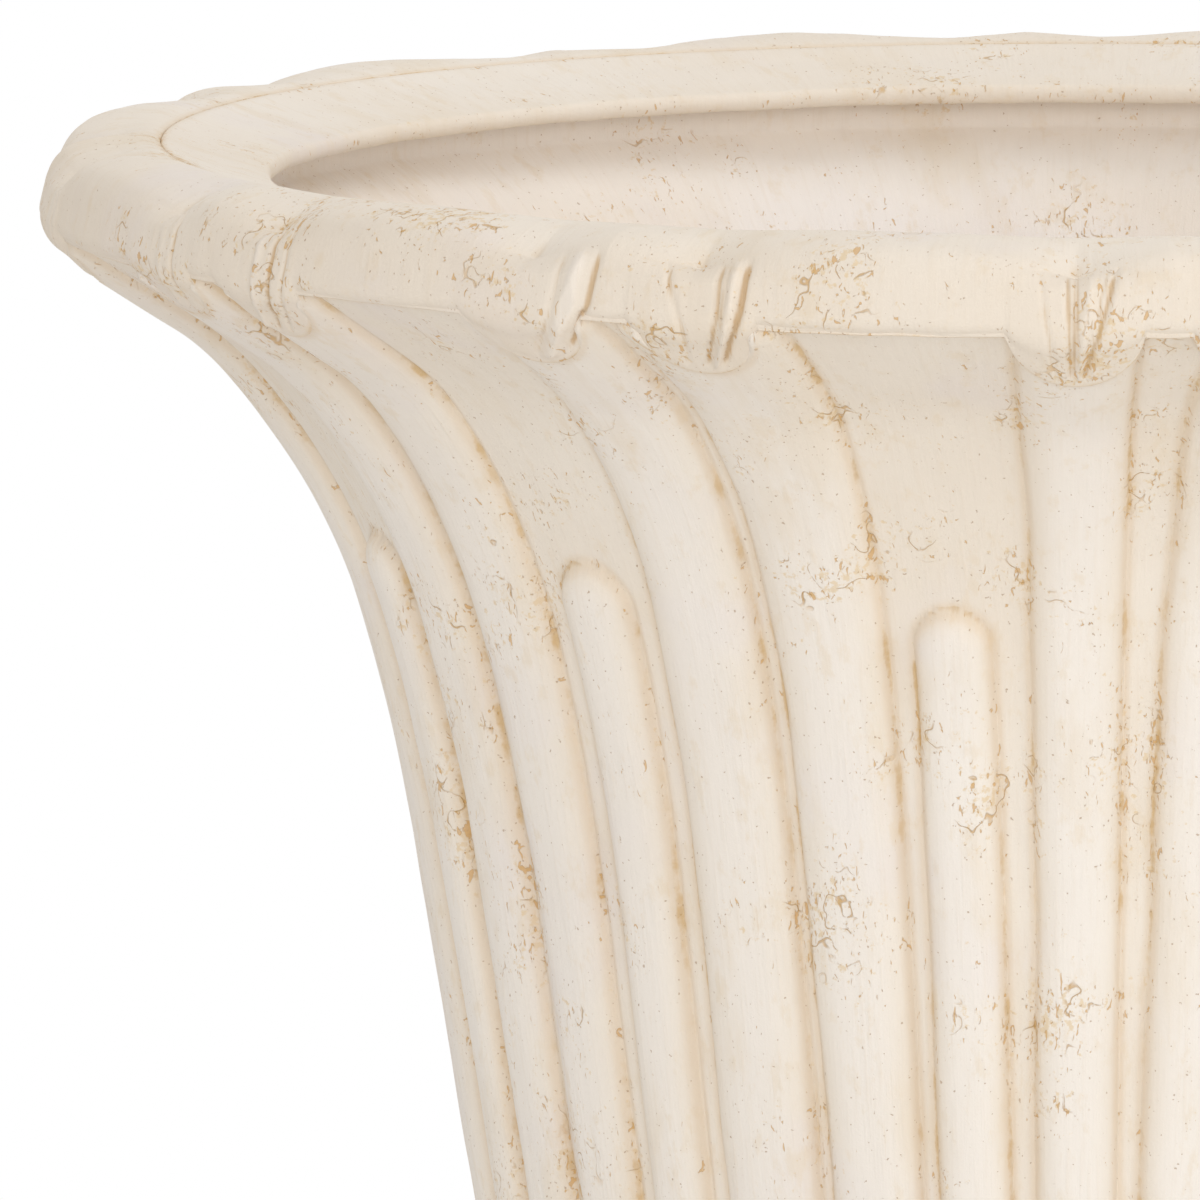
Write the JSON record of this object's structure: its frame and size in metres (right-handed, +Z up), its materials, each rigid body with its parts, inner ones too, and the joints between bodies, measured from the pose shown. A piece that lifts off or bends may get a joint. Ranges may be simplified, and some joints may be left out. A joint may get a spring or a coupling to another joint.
{
  "type": "urn planter",
  "caption": "Tall ribbed urn planter with a flared lobed rim, a plain collar round the mouth, a bolted pedestal foot on a square plinth and plugged drain holes.",
  "frame": {"origin": "on the floor under the middle of the urn, at the underside of the foot pads", "axes": "+Z up along the urn's axis, -Y towards the viewer, a narrow lobe of the rim centred on -Y, the plinth's sides square to X and Y"},
  "size_m": [0.421, 0.421, 0.56],
  "materials": {
    "plaster_paint": "matte hand-finished cream plaster paint over a cast body",
    "black_rubber": "matte",
    "zinc_steel": "zinc plated"
  },
  "bodies": {
    "urn": {"bowl_shell": "plaster_paint", "rim_collar": "plaster_paint", "pedestal_foot": "plaster_paint", "joint_gasket": "black_rubber", "bolt_seal": "black_rubber", "foot_pads": "black_rubber", "tie_bolt": "zinc_steel", "upper_washer": "zinc_steel", "lower_washer": "zinc_steel", "wing_nut": "zinc_steel"},
    "plug_1": {"drain_plug_1": "black_rubber"},
    "plug_2": {"drain_plug_2": "black_rubber"},
    "plug_3": {"drain_plug_3": "black_rubber"}
  },
  "joints": [
    {"name": "plug_1_pull", "type": "slide", "parent": "urn", "child": "plug_1", "axis": [0, 0, 1], "range_m": [0, 0.42]},
    {"name": "plug_2_pull", "type": "slide", "parent": "urn", "child": "plug_2", "axis": [0, 0, 1], "range_m": [0, 0.42]},
    {"name": "plug_3_pull", "type": "slide", "parent": "urn", "child": "plug_3", "axis": [0, 0, 1], "range_m": [0, 0.42]}
  ]
}
